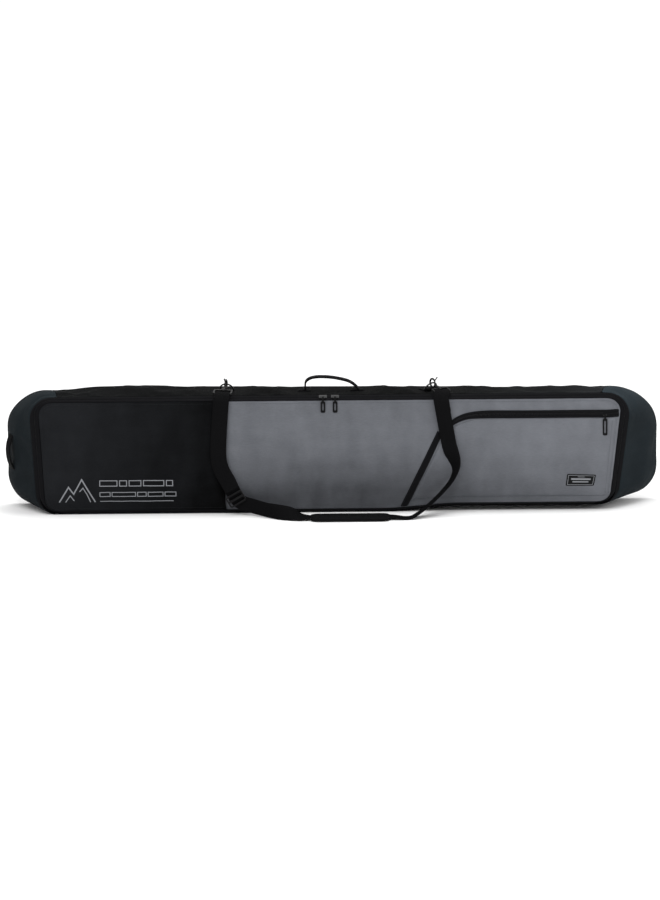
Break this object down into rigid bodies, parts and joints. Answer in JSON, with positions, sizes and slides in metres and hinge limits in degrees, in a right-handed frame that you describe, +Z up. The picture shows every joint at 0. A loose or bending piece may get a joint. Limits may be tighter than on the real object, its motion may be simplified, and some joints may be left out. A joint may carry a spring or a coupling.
{
  "type": "snowboard bag",
  "caption": "Padded snowboard bag with a front panel that zips open, an outer zip pocket, carry handles and a clip-on shoulder strap.",
  "frame": {"origin": "on the resting face of the bottom gusset, below the middle of the bag", "axes": "+X along the bag towards the pocket end, -Y out of the opening front panel, +Z up"},
  "size_m": [1.6789, 0.2626, 0.3453],
  "materials": {
    "black_cloth": "woven polyester, matt",
    "dark_cloth": "woven polyester, matt",
    "grey_cloth": "heathered two-tone polyester",
    "foam": "closed-cell foam",
    "lining": "smooth lining cloth",
    "zip_tape": "ribbed tape with nylon coil",
    "webbing": "ribbed polyester webbing",
    "trim": "woven binding",
    "pad_cloth": "padded woven cloth",
    "black_metal": "satin black",
    "pull_plastic": "satin moulded",
    "buckle_plastic": "satin moulded",
    "label": "moulded soft label"
  },
  "bodies": {
    "bag_shell": {"back_panel": "black_cloth", "top_gusset": "black_cloth", "bottom_gusset": "black_cloth", "left_end_gusset": "black_cloth", "right_end_gusset": "black_cloth", "back_foam": "foam", "top_foam": "foam", "bottom_foam": "foam", "left_end_foam": "foam", "right_end_foam": "foam", "lining": "lining", "zip_tape_shell": "zip_tape", "hinge_strip": "trim", "back_welt": "trim", "top_handle_anchor_left": "webbing", "top_handle_anchor_right": "webbing", "end_handle_anchor_low": "webbing", "end_handle_anchor_high": "webbing", "strap_eye_left": "black_metal", "strap_eye_right": "black_metal", "d_ring_tab_left": "webbing", "d_ring_tab_right": "webbing", "strap_webbing": "webbing"},
    "opening_panel": {"front_panel_dark": "dark_cloth", "front_panel_grey": "grey_cloth", "zip_tape_panel": "zip_tape", "panel_foam": "foam", "panel_lining": "lining", "pocket_panel": "grey_cloth", "pocket_zip_tape": "zip_tape", "pocket_trim": "trim", "label_patch": "label"},
    "slider_left": {"zip_slider_left": "black_metal"},
    "slider_right": {"zip_slider_right": "black_metal"},
    "pull_left": {"zip_pull_left": "pull_plastic"},
    "pull_right": {"zip_pull_right": "pull_plastic"},
    "pocket_slider": {"pocket_slider": "black_metal"},
    "pocket_pull": {"pocket_pull": "pull_plastic"},
    "top_handle": {"top_handle": "webbing"},
    "end_handle": {"end_handle": "webbing"},
    "d_ring_left": {"d_ring_left": "black_metal"},
    "d_ring_right": {"d_ring_right": "black_metal"},
    "snap_hook_left": {"snap_hook_left": "black_metal"},
    "snap_hook_right": {"snap_hook_right": "black_metal"},
    "hook_gate_left": {"hook_gate_left": "black_metal"},
    "hook_gate_right": {"hook_gate_right": "black_metal"},
    "ladder_lock": {"ladder_lock": "buckle_plastic"},
    "shoulder_pad": {"shoulder_pad": "pad_cloth"}
  },
  "joints": [
    {"name": "panel_open", "type": "hinge", "parent": "bag_shell", "child": "opening_panel", "pos_m": [0, -0.0688, 0.01], "axis": [1, 0, 0], "range_deg": [0, 80], "deforming": ["strap_webbing", "ladder_lock"]},
    {"name": "zip_left", "type": "slide", "parent": "opening_panel", "child": "slider_left", "axis": [-1, 0, 0], "range_m": [0, 0.66]},
    {"name": "zip_right", "type": "slide", "parent": "opening_panel", "child": "slider_right", "axis": [1, 0, 0], "range_m": [0, 0.66]},
    {"name": "pull_left_swing", "type": "hinge", "parent": "slider_left", "child": "pull_left", "pos_m": [-0.017, -0.08, 0.3005], "axis": [-1, 0, 0], "range_deg": [0, 140]},
    {"name": "pull_right_swing", "type": "hinge", "parent": "slider_right", "child": "pull_right", "pos_m": [0.014, -0.08, 0.3005], "axis": [-1, 0, 0], "range_deg": [0, 140]},
    {"name": "pocket_zip", "type": "slide", "parent": "opening_panel", "child": "pocket_slider", "axis": [-1, 0, 0], "range_m": [0, 0.33]},
    {"name": "pocket_pull_swing", "type": "hinge", "parent": "pocket_slider", "child": "pocket_pull", "pos_m": [0.701, -0.0852, 0.25], "axis": [-1, 0, 0], "range_deg": [0, 140]},
    {"name": "top_handle_flop", "type": "hinge", "parent": "bag_shell", "child": "top_handle", "pos_m": [0.003, 0, 0.3062], "axis": [1, 0, 0], "range_deg": [-42, 42], "stiffness_Nm_per_rad": 0.02},
    {"name": "end_handle_flop", "type": "hinge", "parent": "bag_shell", "child": "end_handle", "pos_m": [-0.80877, 0.02326, 0.148], "axis": [0, 0, 1], "range_deg": [-42, 42], "stiffness_Nm_per_rad": 0.02},
    {"name": "d_ring_left_tilt", "type": "hinge", "parent": "bag_shell", "child": "d_ring_left", "pos_m": [-0.26168, -0.00976, 0.3078], "axis": [0.9781, -0.2079, 0], "range_deg": [-4, 4]},
    {"name": "hook_left_swivel", "type": "hinge", "parent": "bag_shell", "child": "snap_hook_left", "pos_m": [-0.273, -0.063, 0.311], "axis": [0.1954, 0.9192, 0.342], "range_deg": [-25, 25]},
    {"name": "gate_left_press", "type": "hinge", "parent": "snap_hook_left", "child": "hook_gate_left", "pos_m": [-0.26616, -0.03083, 0.32856], "axis": [-0.9781, 0.2079, 0], "range_deg": [0, 18], "stiffness_Nm_per_rad": 0.05},
    {"name": "d_ring_right_tilt", "type": "hinge", "parent": "bag_shell", "child": "d_ring_right", "pos_m": [0.25678, -0.01841, 0.3078], "axis": [0.8191, 0.5736, 0], "range_deg": [-4, 4]},
    {"name": "hook_right_swivel", "type": "hinge", "parent": "bag_shell", "child": "snap_hook_right", "pos_m": [0.288, -0.063, 0.311], "axis": [-0.539, 0.7697, 0.342], "range_deg": [-25, 25]},
    {"name": "gate_right_press", "type": "hinge", "parent": "snap_hook_right", "child": "hook_gate_right", "pos_m": [0.26914, -0.03606, 0.32856], "axis": [-0.8191, -0.5736, 0], "range_deg": [0, 18], "stiffness_Nm_per_rad": 0.05},
    {"name": "lock_slide", "type": "slide", "parent": "bag_shell", "child": "ladder_lock", "axis": [-0.5, 0, 0.866], "range_m": [-0.02, 0.02], "deforming": ["strap_webbing"]},
    {"name": "pad_slide", "type": "slide", "parent": "bag_shell", "child": "shoulder_pad", "axis": [1, 0, 0], "range_m": [-0.04, 0.04], "deforming": ["strap_webbing"]}
  ],
  "couplings": [
    {"joint": "zip_left", "follows": "panel_open", "m_per_rad": 0.46},
    {"joint": "zip_right", "follows": "panel_open", "m_per_rad": 0.46}
  ]
}
